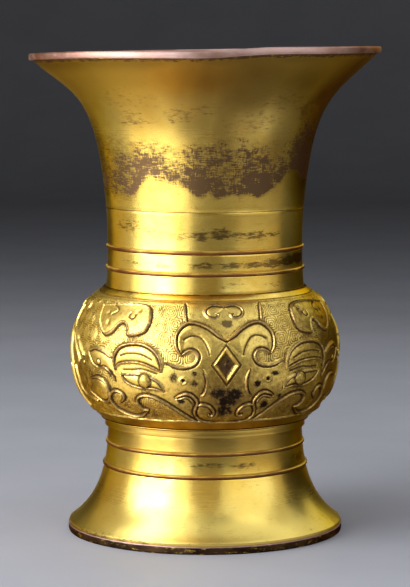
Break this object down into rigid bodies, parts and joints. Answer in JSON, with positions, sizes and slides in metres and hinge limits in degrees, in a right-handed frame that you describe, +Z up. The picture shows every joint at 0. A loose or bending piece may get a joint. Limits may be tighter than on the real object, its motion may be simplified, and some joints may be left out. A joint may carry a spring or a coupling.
{
  "type": "gilt bronze zun vase",
  "caption": "Footed metal vase with a trumpet mouth, ribbed neck, round belly carved in relief with beast masks, and a spreading foot; holds flowers or water.",
  "frame": {"origin": "centre of the foot's underside, on the surface that the vase stands on", "axes": "+Z up along the vase's axis; -Y towards the front mask; +X to the right when facing that mask"},
  "size_m": [0.182, 0.182, 0.25],
  "materials": {
    "gilt": "burnished gilding on bronze, worn in streaks",
    "gilt_relief": "gilding on cast relief, dark in the grooves and rubbed on the crests",
    "bare_copper": "copper-rich bronze with the gilding rubbed off",
    "dark_bronze": "dark brown patina, rubbed along the edge",
    "dull_bronze": "ungilded bronze with a dull patina"
  },
  "bodies": {
    "root": {"foot_band": "dark_bronze", "spreading_foot": "gilt", "foot_rib_lower": "bare_copper", "foot_rib_upper": "bare_copper", "waist_collar": "gilt", "floor_disc": "dull_bronze", "bulb": "gilt_relief", "shoulder_collar": "gilt", "neck_sleeve": "gilt", "neck_rib_lower": "bare_copper", "neck_rib_upper": "bare_copper", "mouth_trumpet": "gilt", "lip_band": "bare_copper"}
  },
  "joints": []
}
